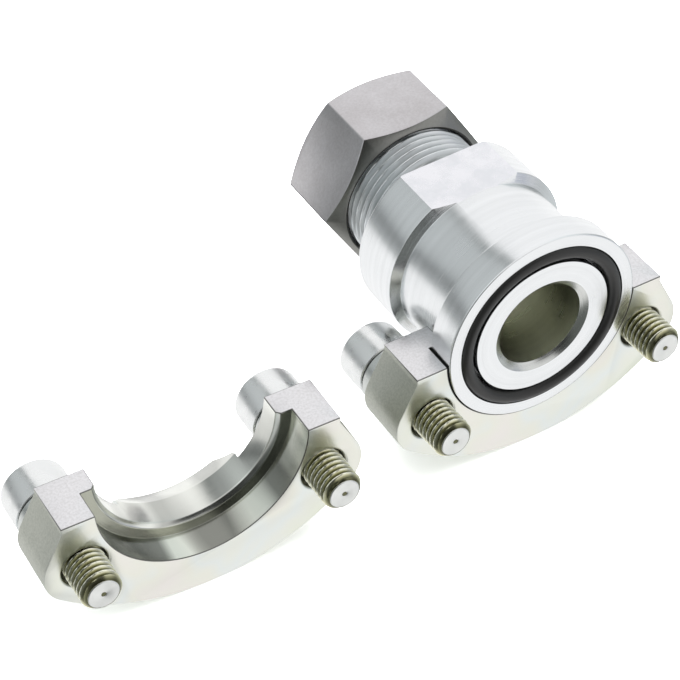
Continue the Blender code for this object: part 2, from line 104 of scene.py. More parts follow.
# Clamp halves: each is built with its split plane at z = 0, and its recess is turned about AXIS_Z above it
SPACING = 58.7 * MM
HOLE_Z = -14.2 * MM
HOLE_R = 5.6 * MM
HOLE_CHAMFER = 0.4 * MM
LUG = 14.2 * MM
LUG_R = 9.75 * MM
HALF = 22.0 * MM
DEPTH = 35.4 * MM
SPLIT_X = 33.8 * MM
SPLIT_SHOULDER = 1.5 * MM
STOCK_ABOVE_SPLIT = 3.0 * MM
AXIS_Z = 0.85 * MM
RECESS_R = 25.75 * MM
RECESS_DEPTH = 7.7 * MM
NECK_HOLE_R = 22.05 * MM
NECK_HOLE_CHAMFER = 1.0 * MM
NECK_HOLE_END = 15.5 * MM
FLARE_TOOL_R = 27.215 * MM
MACHINED_R = 27.5 * MM
POCKET_R = 14.5 * MM
HUB_SLOPE = 4.6 * MM
FORGED_ROUNDING = 0.8 * MM
EDGE_BEVEL = 0.2 * MM

# Cap screws, along their own axis from the tip, and the lock washers under their heads
SCREW_R = 4.95 * MM
SCREW_ROOT_R = 4.02 * MM
SCREW_GROOVE_R = 4.05 * MM
SCREW_PITCH = 1.5 * MM
SCREW_LENGTH = 28.4 * MM
SCREW_THREAD_START = 0.15 * MM
SCREW_THREAD_END = 27.4 * MM
SCREW_TIP_R = 3.85 * MM
TIP_FACE_R = 3.5 * MM
TIP_R = 3.8 * MM
TIP_EDGE = 0.2 * MM
CENTRE_R = 0.95 * MM
CENTRE_FLOOR_R = 0.6 * MM
SCREW_HEAD_R = 8.0 * MM
SCREW_HEAD_EDGE = 0.25 * MM
SCREW_HEAD_ROUNDING = 1.1 * MM
SCREW_HEAD_END = 38.4 * MM
SCREW_SOCKET_WIDTH = 8.0 * MM
SCREW_SOCKET_FLOOR = 33.4 * MM
DROOP = radians(2.7)
WASHER_INNER_R = 5.15 * MM
WASHER_OUTER_R = 8.1 * MM
WASHER_THICKNESS = 2.5 * MM
WASHER_RISE = 1.6 * MM
WASHER_SWEEP = radians(344)
WASHER_EDGE = 0.18 * MM
WASHER_GAP = 0.03 * MM

# Where the two halves lie, with their split planes a little below the adapter's axis, and the floor
SPLIT_PLANE_Z = -0.53 * MM
SEATED = Matrix.Translation((0, 0.32 * MM, SPLIT_PLANE_Z))
LOOSE_TURN = Matrix.Rotation(radians(-1.72), 4, "Z")
LOOSE = Matrix.Translation((-88.13 * MM, 0.48 * MM, SPLIT_PLANE_Z)) @ LOOSE_TURN
FLOOR_Z = SPLIT_PLANE_Z - DEPTH


# Mesh helpers

def link(name, mesh, mat=None):
    obj = bpy.data.objects.new(name, mesh)
    bpy.context.collection.objects.link(obj)
    if mat is not None:
        mesh.materials.append(mat)
    return obj


def from_bmesh(name, bm, mat=None):
    bmesh.ops.recalc_face_normals(bm, faces=bm.faces)
    mesh = bpy.data.meshes.new(name)
    bm.to_mesh(mesh)
    bm.free()
    return link(name, mesh, mat)


def smooth(obj, angle=30):
    obj.data.shade_smooth()
    obj.data.set_sharp_from_angle(angle=radians(angle))


def bake(obj):
    """Turn an object's modifiers into its mesh."""
    bpy.context.view_layer.update()
    depsgraph = bpy.context.evaluated_depsgraph_get()
    mesh = bpy.data.meshes.new_from_object(obj.evaluated_get(depsgraph))
    obj.modifiers.clear()
    obj.data = mesh
    return obj


def lathe(name, profile, steps=192, mat=None, closed=True):
    """Turn (radius, y) points about the Y axis."""
    mesh = bpy.data.meshes.new(name)
    edges = [(i, i + 1) for i in range(len(profile) - 1)]
    if closed:
        edges.append((len(profile) - 1, 0))
    mesh.from_pydata([(radius, y, 0.0) for radius, y in profile], edges, [])
    obj = link(name, mesh, mat)
    turn = obj.modifiers.new("turn", "SCREW")
    turn.axis = "Y"
    turn.steps = turn.render_steps = steps
    turn.use_merge_vertices = True
    turn.merge_threshold = 0.001 * MM
    turn.use_normal_flip = True
    return bake(obj)


def rod(name, radius, start, end, steps):
    return lathe(name, [(0, start), (radius, start), (radius, end), (0, end)], steps, closed=False)


def plate(name, outline, start, thickness, mat=None):
    """Extrude (x, z) points along Y."""
    bm = bmesh.new()
    face = bm.faces.new([bm.verts.new((x, start, z)) for x, z in outline])
    grown = bmesh.ops.extrude_face_region(bm, geom=[face])
    moved = [v for v in grown["geom"] if isinstance(v, bmesh.types.BMVert)]
    bmesh.ops.translate(bm, verts=moved, vec=(0.0, thickness, 0.0))
    return from_bmesh(name, bm, mat)


def loft(name, levels):
    """Closed solid through outlines of (x, z) points, each at its own y."""
    bm = bmesh.new()
    rings = [[bm.verts.new((x, y, z)) for x, z in outline] for y, outline in levels]
    bm.faces.new(rings[0])
    bm.faces.new(rings[-1])
    for near, far in zip(rings, rings[1:]):
        for i in range(len(near)):
            bm.faces.new((near[i - 1], near[i], far[i], far[i - 1]))
    return from_bmesh(name, bm)


def cut(obj, *tools):
    for tool in tools:
        mod = obj.modifiers.new("cut", "BOOLEAN")
        mod.operation = "DIFFERENCE"
        mod.solver = "EXACT"
        mod.object = tool
    bake(obj)
    for tool in tools:
        bpy.data.objects.remove(tool, do_unlink=True)
    return obj


def weld(obj):
    """Join the near points and the flat pieces that cuts leave, so that edges can be rounded evenly."""
    bm = bmesh.new()
    bm.from_mesh(obj.data)
    bmesh.ops.remove_doubles(bm, verts=bm.verts, dist=0.02 * MM)
    bmesh.ops.dissolve_degenerate(bm, dist=0.01 * MM, edges=bm.edges)
    bmesh.ops.dissolve_limit(bm, angle_limit=radians(0.4), verts=bm.verts, edges=bm.edges)
    bm.to_mesh(obj.data)
    bm.free()


def soften(obj, width, segments=2, angle=30, clamp=True):
    """Round the edges. Without the clamp one short edge doesn't shrink the rounding of all the others."""
    if not clamp:
        weld(obj)
    mod = obj.modifiers.new("edges", "BEVEL")
    mod.width = width
    mod.segments = segments
    mod.limit_method = "ANGLE"
    mod.angle_limit = radians(angle)
    mod.use_clamp_overlap = clamp
    return bake(obj)


def arc(x, z, radius, start, end, steps):
    angles = [start + (end - start) * i / steps for i in range(steps + 1)]
    return [(x + radius * cos(a), z + radius * sin(a)) for a in angles]


def rounded(points, steps):
    """Round the corners of a profile at the points that have a third value, the radius."""
    in_mm = [Vector((radius / MM, y / MM)) for radius, y, *_ in points]
    out = []
    for i, (radius, y, *rounding) in enumerate(points):
        if not rounding:
            out.append((radius, y))
            continue
        corner = in_mm[i]
        before = in_mm[i - 1] - corner
        after = in_mm[(i + 1) % len(points)] - corner
        reach = min(rounding[0] / MM / tan(before.angle(after) / 2), 0.45 * before.length, 0.45 * after.length)
        start = corner + before.normalized() * reach
        end = corner + after.normalized() * reach
        for k in range(steps + 1):
            t = k / steps
            place = (1 - t) ** 2 * start + 2 * t * (1 - t) * corner + t ** 2 * end
            out.append((place.x * MM, place.y * MM))
    return out


def hexagon(width, turn):
    corner = width / 2 / cos(pi / 6)
    return [(corner * cos(turn + i * pi / 3), corner * sin(turn + i * pi / 3)) for i in range(6)]


def from_axis(point, axis_z=0.0):
    return hypot(point.x, point.z - axis_z)


def paint(obj, mat, chosen):
    """Give the faces that a test on centre and normal picks another material."""
    obj.data.materials.append(mat)
    index = len(obj.data.materials) - 1
    for face in obj.data.polygons:
        if chosen(face.center, face.normal):
            face.material_index = index


def thread_skin(name, start, end, crest, root, pitch, turn, around, per_pitch, envelope, mat=None):
    """Closed rod with a right-hand thread: its radius follows the thread, up to an envelope."""
    flat_top, flat_root = 0.16, 0.14
    rows = int((end - start) / pitch * per_pitch) + 1
    ys = np.linspace(start, end, rows)
    angles = np.arange(around) * 2 * pi / around
    phase = (ys[:, None] / pitch + angles[None, :] / (2 * pi) + turn) % 1.0
    ridge = np.clip((np.abs(phase - 0.5) * 2 - flat_root) / (1 - flat_root - flat_top), 0, 1)
    limit = np.array([envelope(y) for y in ys])
    radius = np.minimum(root + (crest - root) * ridge, limit[:, None])
    along = np.repeat(ys[:, None], around, 1)
    places = np.stack([radius * np.cos(angles), along, radius * np.sin(angles)], -1)
    bm = bmesh.new()
    rings = [[bm.verts.new(place) for place in row] for row in places]
    for near, far in zip(rings, rings[1:]):
        for i in range(around):
            k = (i + 1) % around
            bm.faces.new((near[i], far[i], far[k], near[k]))
    bm.faces.new(rings[0])
    bm.faces.new(rings[-1][::-1])
    return from_bmesh(name, bm, mat)


# Node helpers

def principled(name, colour, rough, metallic=1.0):
    mat = bpy.data.materials.new(name)
    mat.use_nodes = True
    nt = mat.node_tree
    bsdf = nt.nodes["Principled BSDF"]
    bsdf.inputs["Base Color"].default_value = (*colour, 1)
    bsdf.inputs["Roughness"].default_value = rough
    bsdf.inputs["Metallic"].default_value = metallic
    return mat, nt, bsdf


def math_node(nt, operation, first, second=0.0):
    """Each value is an output or a plain number."""
    node = nt.nodes.new("ShaderNodeMath")
    node.operation = operation
    for socket, value in zip(node.inputs, (first, second)):
        if isinstance(value, (int, float)):
            socket.default_value = value
        else:
            nt.links.new(value, socket)
    return node.outputs[0]


def product(nt, *values):
    result = values[0]
    for value in values[1:]:
        result = math_node(nt, "MULTIPLY", result, value)
    return result


def noise(nt, vector, scale, detail=3.0, rough=0.5, seed=None):
    node = nt.nodes.new("ShaderNodeTexNoise")
    if seed is not None:
        node.noise_dimensions = "4D"
        node.inputs["W"].default_value = seed
    node.inputs["Scale"].default_value = scale
    node.inputs["Detail"].default_value = detail
    node.inputs["Roughness"].default_value = rough
    nt.links.new(vector, node.inputs["Vector"])
    return node.outputs["Fac"]


def bump(nt, bsdf, height, strength):
    node = nt.nodes.new("ShaderNodeBump")
    node.inputs["Strength"].default_value = strength
    node.inputs["Distance"].default_value = 0.1 * MM
    nt.links.new(height, node.inputs["Height"])
    nt.links.new(node.outputs["Normal"], bsdf.inputs["Normal"])


def mapped(nt, value, low, high, to_low=0.0, to_high=1.0, kind="LINEAR"):
    node = nt.nodes.new("ShaderNodeMapRange")
    node.interpolation_type = kind
    node.inputs["From Min"].default_value = low
    node.inputs["From Max"].default_value = high
    node.inputs["To Min"].default_value = to_low
    node.inputs["To Max"].default_value = to_high
    nt.links.new(value, node.inputs["Value"])
    return node.outputs["Result"]


def mix(nt, cover, below, above):
    """One colour over another where the cover is 1; each is an output or a plain colour."""
    node = nt.nodes.new("ShaderNodeMix")
    node.data_type = "RGBA"
    nt.links.new(cover, node.inputs["Factor"])
    for key, value in (("A", below), ("B", above)):
        if isinstance(value, tuple):
            node.inputs[key].default_value = (*value, 1)
        else:
            nt.links.new(value, node.inputs[key])
    return node.outputs["Result"]


def ramp(nt, value, stops):
    """Colours at their places between 0 and 1."""
    node = nt.nodes.new("ShaderNodeValToRGB")
    elements = node.color_ramp.elements
    for element, (at, colour) in zip(elements, (stops[0], stops[-1])):
        element.position = at
        element.color = (*colour, 1)
    for at, colour in stops[1:-1]:
        elements.new(at).color = (*colour, 1)
    nt.links.new(value, node.inputs[0])
    return node.outputs[0]


def object_coords(nt):
    return nt.nodes.new("ShaderNodeTexCoord").outputs["Object"]


def radius_of(nt, coords, axis_z=0.0):
    """Distance from the object's Y axis, or from one above it, and the place along it."""
    split = nt.nodes.new("ShaderNodeSeparateXYZ")
    nt.links.new(coords, split.inputs[0])
    x, y, z = split.outputs
    if axis_z:
        z = math_node(nt, "SUBTRACT", z, axis_z)
    squares = math_node(nt, "ADD", product(nt, x, x), product(nt, z, z))
    return math_node(nt, "SQRT", squares), y


def turned_vector(nt, coords, per_metre, axis_z):
    """Coordinates that change only along the axis and the radius, for lathe marks."""
    radius, y = radius_of(nt, coords, axis_z)
    join = nt.nodes.new("ShaderNodeCombineXYZ")
    nt.links.new(product(nt, radius, per_metre), join.inputs[0])
    nt.links.new(product(nt, y, per_metre), join.inputs[1])
    return join.outputs[0]


def stretched(nt, coords, share):
    """Coordinates that change slowly along Y."""
    node = nt.nodes.new("ShaderNodeVectorMath")
    node.operation = "MULTIPLY"
    node.inputs[1].default_value = (1, share, 1)
    nt.links.new(coords, node.inputs[0])
    return node.outputs[0]


# Materials

def turned_metal(name, colour, rough, axis_z=0.0, depth=0.15, stain=None):
    """Lathe marks round the axis, with smudges that dull the shine, and stains of a strength and a seed."""
    mat, nt, bsdf = principled(name, colour, rough)
    coords = object_coords(nt)
    marks = noise(nt, turned_vector(nt, coords, 2600.0, axis_z), scale=1.0, detail=4.0, rough=0.6)
    if stain is None:
        darkest = 0.94
        bands = noise(nt, turned_vector(nt, coords, 520.0, axis_z), scale=1.0, detail=3.0, rough=0.6)
        spread = mapped(nt, bands, 0.35, 0.65)
    else:
        darkest, seed = stain
        patches = noise(nt, stretched(nt, coords, 0.15), scale=88.0, detail=1.0, rough=0.4, seed=seed)
        spread = mapped(nt, patches, 0.42, 0.58)
    darker = tuple(darkest * v for v in colour)
    nt.links.new(mix(nt, spread, colour, darker), bsdf.inputs["Base Color"])
    bump(nt, bsdf, marks, depth)
    smudge = noise(nt, coords, scale=120.0, detail=4.0, rough=0.6)
    from_marks = mapped(nt, marks, 0.3, 0.7, -0.03, 0.05)
    from_smudge = mapped(nt, smudge, 0.4, 0.7, 0, 0.07)
    dull = math_node(nt, "ADD", from_marks, from_smudge)
    nt.links.new(math_node(nt, "ADD", dull, rough), bsdf.inputs["Roughness"])
    return mat


def grained_metal(name, dark, light, rough, scale, spread, strength):
    """Fine grain that varies colour and height."""
    mat, nt, bsdf = principled(name, dark, rough)
    grain = noise(nt, object_coords(nt), scale=scale, detail=4.0, rough=0.7)
    nt.links.new(mix(nt, mapped(nt, grain, *spread), dark, light), bsdf.inputs["Base Color"])
    bump(nt, bsdf, grain, strength)
    return mat


def pale_zinc():
    """Smooth faces of the halves, yellowish with a faint play of colours."""
    mat, nt, bsdf = principled("pale zinc", (0.80, 0.81, 0.74), 0.34)
    coords = object_coords(nt)
    hue = noise(nt, coords, scale=45.0, detail=2.0)
    stops = ((0.30, (0.83, 0.85, 0.74)), (0.42, (0.84, 0.855, 0.79)), (0.50, (0.82, 0.855, 0.83)),
             (0.58, (0.85, 0.85, 0.77)), (0.70, (0.87, 0.835, 0.80)))
    nt.links.new(ramp(nt, hue, stops), bsdf.inputs["Base Color"])
    bump(nt, bsdf, noise(nt, coords, scale=2400.0, rough=0.6), 0.10)
    return mat


def milled_zinc():
    """Wrench flats, with cloudy smudges."""
    mat, nt, bsdf = principled("milled zinc", (0.84, 0.85, 0.88), 0.27)
    coords = object_coords(nt)
    cloud = noise(nt, coords, scale=160.0, detail=4.0, rough=0.65)
    colours = mix(nt, mapped(nt, cloud, 0.42, 0.62), (0.86, 0.86, 0.89), (0.79, 0.80, 0.83))
    nt.links.new(colours, bsdf.inputs["Base Color"])
    nt.links.new(mapped(nt, cloud, 0.4, 0.7, 0.22, 0.36), bsdf.inputs["Roughness"])
    bump(nt, bsdf, noise(nt, coords, scale=1500.0, detail=2.0), 0.06)
    return mat


def phosphate(name, light, dark, rough):
    """Dull dark coat, cloudy and grainy."""
    mat, nt, bsdf = principled(name, light, rough)
    coords = object_coords(nt)
    grain = noise(nt, coords, scale=1500.0, detail=4.0, rough=0.7)
    cloud = noise(nt, coords, scale=70.0, detail=3.0, rough=0.55)
    both = math_node(nt, "ADD", mapped(nt, cloud, 0.35, 0.65, 0, 0.5), mapped(nt, grain, 0.35, 0.65, 0, 0.5))
    nt.links.new(mix(nt, both, light, dark), bsdf.inputs["Base Color"])
    bump(nt, bsdf, grain, 0.25)
    return mat


def screw_zinc(name, colour, rough):
    """Plain bright metal whose shine is cloudy."""
    mat, nt, bsdf = principled(name, colour, rough)
    coords = object_coords(nt)
    bump(nt, bsdf, noise(nt, coords, scale=1600.0, rough=0.6), 0.08)
    cloud = noise(nt, coords, scale=260.0, rough=0.6)
    nt.links.new(mapped(nt, cloud, 0.35, 0.65, rough - 0.06, rough + 0.08), bsdf.inputs["Roughness"])
    return mat


def groove_shaded_metal(name, root, crest, stops, rough):
    """Metal whose colour follows the depth of a thread: painted shade darkens it towards the grooves, and the
    crests are lighter.
    """
    mat, nt, bsdf = principled(name, stops[-1][1], rough)
    coords = object_coords(nt)
    height = mapped(nt, radius_of(nt, coords)[0], root, crest)
    nt.links.new(ramp(nt, height, stops), bsdf.inputs["Base Color"])
    bump(nt, bsdf, noise(nt, coords, scale=1800.0, rough=0.6), 0.10)
    return mat


ZINC = turned_metal("bright zinc", (0.86, 0.875, 0.885), 0.19)
# Adapter thread colours from groove to crest: painted shade in the grooves, lighter crests.
ZINC_THREAD_SHADE_STOPS = ((0.0, (0.50, 0.52, 0.52)), (0.5, (0.66, 0.68, 0.69)), (1.0, (0.80, 0.825, 0.84)))
ZINC_THREAD = groove_shaded_metal("bright zinc thread", THREAD_ROOT_R, THREAD_R, ZINC_THREAD_SHADE_STOPS, 0.33)
MILLED = milled_zinc()
BORE = turned_metal("bore", (0.76, 0.77, 0.66), 0.28)
MOUTH = turned_metal("bore mouth", (0.66, 0.67, 0.65), 0.20)
PALE = pale_zinc()
FORGED = grained_metal("forged zinc", (0.48, 0.495, 0.44), (0.59, 0.60, 0.54), 0.46,
                       scale=1900.0, spread=(0.36, 0.64), strength=0.25)
SPLIT = grained_metal("split zinc", (0.70, 0.69, 0.695), (0.84, 0.83, 0.845), 0.36,
                      scale=1700.0, spread=(0.34, 0.60), strength=0.12)
MACHINED = turned_metal("machined zinc", (0.84, 0.85, 0.80), 0.17, AXIS_Z, 0.10, stain=(0.62, 3.0))
# The recess and its floor are painted darker than the other machined faces: painted shade, with deeper random
# stains in the recess.
RECESS = turned_metal("shaded recess zinc", (0.74, 0.755, 0.68), 0.15, AXIS_Z, 0.10, stain=(0.34, 0.4))
RECESS_FLOOR = turned_metal("shaded recess floor zinc", (0.42, 0.43, 0.36), 0.16, AXIS_Z, 0.10)
# Dark painted shade for the narrow rounded edges of the split faces and the recess mouth.
EDGE = principled("painted edge shade", (0.17, 0.17, 0.16), 0.35)[0]
# Near-black painted shade, for gaps between parts.
GAP = principled("painted gap shade", (0.03, 0.03, 0.028), 0.5, metallic=0.0)[0]
NUT = phosphate("dark phosphate", (0.65, 0.635, 0.65), (0.50, 0.48, 0.485), 0.29)
NUT_TURNED = phosphate("turned phosphate", (0.29, 0.29, 0.275), (0.24, 0.24, 0.225), 0.30)
# Screw thread colours from groove to crest: olive zinc, with painted shade in the grooves and lighter crests.
SCREW_THREAD_SHADE_STOPS = ((0.0, (0.14, 0.14, 0.08)), (0.4, (0.36, 0.35, 0.21)), (0.75, (0.70, 0.685, 0.49)),
                      (1.0, (0.96, 0.955, 0.82)))
SCREW_THREAD = groove_shaded_metal("screw thread", SCREW_GROOVE_R, SCREW_R, SCREW_THREAD_SHADE_STOPS, 0.25)
HEAD = screw_zinc("screw zinc", (0.86, 0.87, 0.865), 0.27)
TIP = screw_zinc("screw tip", (0.80, 0.81, 0.79), 0.36)
# The inside of the screw heads' sockets is painted darker: painted shade.
SOCKET = screw_zinc("screw socket shade", (0.40, 0.40, 0.385), 0.36)
# Painted shade for the floor of the screw tip's centre hole.
TIP_HOLE_SHADE = principled("screw tip hole shade", (0.10, 0.09, 0.07), 0.45)[0]
WASHER = screw_zinc("washer zinc", (0.66, 0.68, 0.66), 0.28)
STEEL = screw_zinc("ring steel", (0.55, 0.55, 0.54), 0.35)
RUBBER = principled("seal rubber", (0.018, 0.018, 0.017), 0.40, metallic=0.0)[0]


# Adapter: turned body with two wrench flats and a cut thread

def flat_mill(turn):
    """Block that leaves a flat whose normal points at this angle about the adapter's axis."""
    side = SHOULDER_R + OVERRUN
    outline = [(FLAT_R, -side), (side, -side), (side, side), (FLAT_R, side)]
    tool = plate("flat_mill", outline, FLAT_START, SHOULDER_END + OVERRUN - FLAT_START)
    tool.rotation_euler = (0, -turn, 0)
    return tool


def thread_envelope(y):
    runout_r, runout_y = THREAD_RUNOUT
    end_r, end_y = THREAD_CHAMFER
    return min(THREAD_R, runout_r + max(0.0, y - runout_y), end_r + max(0.0, end_y - y))


def build_adapter():
    chamfer_in, chamfer_back = SHANK_CHAMFER
    profile = [
        (BORE_R, MOUTH_DEPTH),
        (MOUTH_R, 0.0, 0.12 * MM),
        (GROOVE_INNER_R, 0.0, 0.12 * MM),
        (GROOVE_INNER_R, GROOVE_DEPTH),
        (GROOVE_OUTER_R, GROOVE_DEPTH),
        (GROOVE_OUTER_R, 0.0, 0.12 * MM),
        (HEAD_R, 0.0, 0.45 * MM),
        (HEAD_R, HEAD_END, 0.45 * MM),
        (NECK_R, HEAD_END, 0.5 * MM),
        (NECK_R, NECK_END, 0.3 * MM),
        (SHOULDER_R, SHOULDER_START, 0.25 * MM),
        (SHOULDER_R, SHOULDER_END, 0.5 * MM),
        (SHANK_R, SHOULDER_END, 0.3 * MM),
        (SHANK_R, BODY_END - chamfer_back),
        (SHANK_R - chamfer_in, BODY_END),
        (CONE_MOUTH_R, BODY_END),
        (SOCKET_R, CONE_START),
        (SOCKET_R, SOCKET_START),
        (BORE_R, SOCKET_START),
    ]
    body = lathe("adapter", rounded(profile, 4), 224, ZINC)
    cut(body, flat_mill(FLAT_TURN), flat_mill(FLAT_TURN + pi))
    soften(body, 0.16 * MM, angle=28)
    up = Vector((cos(FLAT_TURN), 0, sin(FLAT_TURN)))
    paint(body, MILLED, lambda c, n: abs(n.dot(up)) > 0.999 and abs(abs(c.dot(up)) - FLAT_R) < 0.05 * MM)
    paint(body, BORE, lambda c, n: from_axis(c) < BORE_R + 0.1 * MM and c.y > MOUTH_DEPTH)
    paint(body, MOUTH, lambda c, n: from_axis(c) < MOUTH_R - 0.02 * MM
          and 0.02 * MM < c.y < MOUTH_DEPTH + 0.1 * MM)
    sleeve = thread_skin("adapter_thread", THREAD_START, THREAD_END, THREAD_R, THREAD_ROOT_R, THREAD_PITCH,
                         turn=0.8, around=160, per_pitch=14, envelope=thread_envelope, mat=ZINC_THREAD)
    cut(sleeve, rod("core", THREAD_CORE_R, THREAD_START - 3 * OVERRUN, THREAD_END + 3 * OVERRUN, 160))
    smooth(body, 28)
    smooth(sleeve, 40)
    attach(body, "set")
    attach(sleeve, "set")
    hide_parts("flange_adapter")


def build_seal():
    bpy.ops.mesh.primitive_torus_add(major_radius=SEAL_R, minor_radius=SEAL_SECTION_R, major_segments=160,
                                     minor_segments=32, rotation=(pi / 2, 0, 0), location=(0, SEAL_Y, 0))
    seal = bpy.context.object
    seal.name = "seal"
    seal.data.materials.append(RUBBER)
    smooth(seal, 60)
    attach(seal, "set")
    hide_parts("face_o_ring")


def build_nut():
    front = (NUT_CORNER_R - NUT_FRONT_R) * NUT_CHAMFER_SLOPE
    back = (NUT_CORNER_R - NUT_BACK_R) * NUT_CHAMFER_SLOPE
    profile = [
        (NUT_BORE_R, NUT_START + NUT_COUNTERSINK),
        (NUT_BORE_R + NUT_COUNTERSINK, NUT_START),
        (NUT_FRONT_R, NUT_START),
        (NUT_CORNER_R, NUT_START + front),
        (NUT_CORNER_R, NUT_END - back),
        (NUT_BACK_R, NUT_END, 0.2 * MM),
        (NUT_TUBE_R + NUT_TUBE_CHAMFER, NUT_END, 0.15 * MM),
        (NUT_TUBE_R, NUT_END - NUT_TUBE_CHAMFER),
        (NUT_TUBE_R, NUT_CONE_START + NUT_CONE_R - NUT_TUBE_R),
        (NUT_CONE_R, NUT_CONE_START),
        (NUT_BORE_R, NUT_THREAD_END),
    ]
    body = lathe("nut", rounded(profile, 3), 224, NUT)
    start, end = NUT_START - OVERRUN, NUT_END + OVERRUN
    mill = rod("nut_mill", NUT_CORNER_R + OVERRUN, start, end, 96)
    cut(mill, plate("nut_inside", hexagon(NUT_WIDTH, NUT_TURN), start - OVERRUN / 2, end - start + OVERRUN))
    cut(body, mill)
    soften(body, 0.28 * MM, 3, 28, clamp=False)
    paint(body, NUT_TURNED, lambda c, n: n.y < -0.6 and from_axis(c) > NUT_FRONT_R - 0.1 * MM)
    # Painted shade: the nut's bore near its front is painted near black, for the shade between nut and
    # adapter.
    paint(body, GAP, lambda c, n: from_axis(c) < NUT_FRONT_R - 0.2 * MM and c.y < NUT_START + NUT_SHADE_DEPTH)
    smooth(body, 28)
    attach(body, "nut")
    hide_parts("union_nut")


# Clamp halves

def half_outline():
    """Two lugs with a split face each, joined by a belly arc that meets them tangentially."""
    lug_x = SPACING / 2
    drop = DEPTH + HOLE_Z
    belly_r = (lug_x ** 2 + drop ** 2 - LUG_R ** 2) / (2 * (drop - LUG_R))
    belly_z = belly_r - DEPTH
    belly_end = atan2(HOLE_Z - belly_z, lug_x)
    dx = lug_x - SPLIT_X
    dz = HOLE_Z + SPLIT_SHOULDER
    start = atan2(dz, dx) + asin(LUG_R / hypot(dx, dz)) + pi / 2
    right = [(SPLIT_X, STOCK_ABOVE_SPLIT), (SPLIT_X, -SPLIT_SHOULDER)]
    right += arc(lug_x, HOLE_Z, LUG_R, start, belly_end, 28)
    belly = arc(0, belly_z, belly_r, belly_end, -pi - belly_end, 72)
    return right + belly[1:-1] + [(-x, z) for x, z in reversed(right)]


def pocket(side):
    """Room behind a lug: straight at first, then opening at 45 degrees."""
    lug_x = SPACING / 2
    outside = lug_x + LUG_R + OVERRUN
    top = STOCK_ABOVE_SPLIT + OVERRUN
    past = 1.0 * MM
    levels = []
    for y, wider in ((LUG, 0), (HALF - HUB_SLOPE, 0), (HALF + past, HUB_SLOPE + past)):
        radius = POCKET_R + wider
        corner = arc(lug_x, HOLE_Z, radius, pi, 1.5 * pi, 24)
        points = [(outside, top), (lug_x - radius, top)] + corner + [(outside, HOLE_Z - radius)]
        levels.append((y, [(side * x, z) for x, z in points]))
    return loft("pocket", levels)


def saw():
    """Block over the split plane, larger than a half."""
    bpy.ops.mesh.primitive_cube_add(size=1)
    block = bpy.context.object
    block.scale = (80 * MM, 40 * MM, 8 * MM)
    block.location = (0, 10 * MM, 4 * MM)
    return block


def recess_tool():
    """Recess for the head, neck hole and its flared back, whose radius is stated at the tool's own end."""
    back = HALF + OVERRUN
    profile = [
        (0, -OVERRUN),
        (RECESS_R, -OVERRUN),
        (RECESS_R, RECESS_DEPTH),
        (NECK_HOLE_R + NECK_HOLE_CHAMFER, RECESS_DEPTH),
        (NECK_HOLE_R, RECESS_DEPTH + NECK_HOLE_CHAMFER),
        (NECK_HOLE_R, NECK_HOLE_END),
        (FLARE_TOOL_R, back),
        (0, back),
    ]
    tool = lathe("recess", profile, 224, closed=False)
    tool.location = (0, 0, AXIS_Z)
    return tool


def hole_tool(side):
    wide = HOLE_R + HOLE_CHAMFER
    profile = [
        (0, -OVERRUN),
        (wide, -OVERRUN),
        (wide, 0),
        (HOLE_R, HOLE_CHAMFER),
        (HOLE_R, LUG - HOLE_CHAMFER),
        (wide, LUG),
        (wide, LUG + OVERRUN),
        (0, LUG + OVERRUN),
    ]
    tool = lathe("hole", profile, 72, closed=False)
    tool.location = (side * SPACING / 2, 0, HOLE_Z)
    return tool


def paint_half(half, recess_gap_shade):
    """Each kind of surface by its place from the recess's axis, the front and the split plane."""
    def radius(c):
        return from_axis(c, AXIS_Z)

    def inward(c, n):
        return n.x * c.x + n.z * (c.z - AXIS_Z) < -0.7 * radius(c)

    def below_edge(c):
        return c.z < -EDGE_BEVEL

    def split_edge(c, n):
        return 0.2 < n.z < 0.97 and abs(c.z) < 1.2 * EDGE_BEVEL

    def recess_edge(c, n):
        at_corner = c.y < 1.2 * EDGE_BEVEL and abs(radius(c) - RECESS_R) < 1.5 * EDGE_BEVEL
        return at_corner and -0.97 < n.y < -0.2

    paint(half, FORGED, lambda c, n: abs(n.y) < 0.3 and radius(c) > MACHINED_R)
    paint(half, MACHINED, lambda c, n: radius(c) < MACHINED_R - 0.1 * MM and below_edge(c) and inward(c, n))
    # Painted shade: the recess wall and floor take the darker recess materials.
    paint(half, RECESS, lambda c, n: EDGE_BEVEL < c.y < RECESS_DEPTH + 0.1 * MM
          and radius(c) < RECESS_R + 0.15 * MM and below_edge(c))
    paint(half, RECESS_FLOOR, lambda c, n: n.y < -0.9 and c.y > 7 * MM and below_edge(c))
    paint(half, SPLIT, lambda c, n: n.z > 0.99 and abs(c.z) < 0.05 * MM)
    # Painted shade: dark lines on the rounded edges of the split face and the recess.
    paint(half, EDGE, lambda c, n: split_edge(c, n) or recess_edge(c, n))
    # Painted shade: on the seated half the recess wall round the adapter's head is painted near black.
    if recess_gap_shade:
        paint(half, GAP, lambda c, n: EDGE_BEVEL < c.y < RECESS_DEPTH - 0.1 * MM
              and abs(radius(c) - RECESS_R) < 0.1 * MM)


def build_half(group, place, node):
    half = plate(group + "_clamp", half_outline(), 0, HALF, PALE)
    cut(half, pocket(-1), pocket(1))
    soften(half, FORGED_ROUNDING, 4, 50)
    cut(half, saw(), recess_tool(), hole_tool(-1), hole_tool(1))
    soften(half, EDGE_BEVEL, 2, 32, clamp=False)
    paint_half(half, recess_gap_shade=group == "seated")
    smooth(half, 25)
    half.matrix_world = place
    bpy.context.view_layer.update()
    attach(half, "set")
    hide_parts(node)


# Screws and lock washers

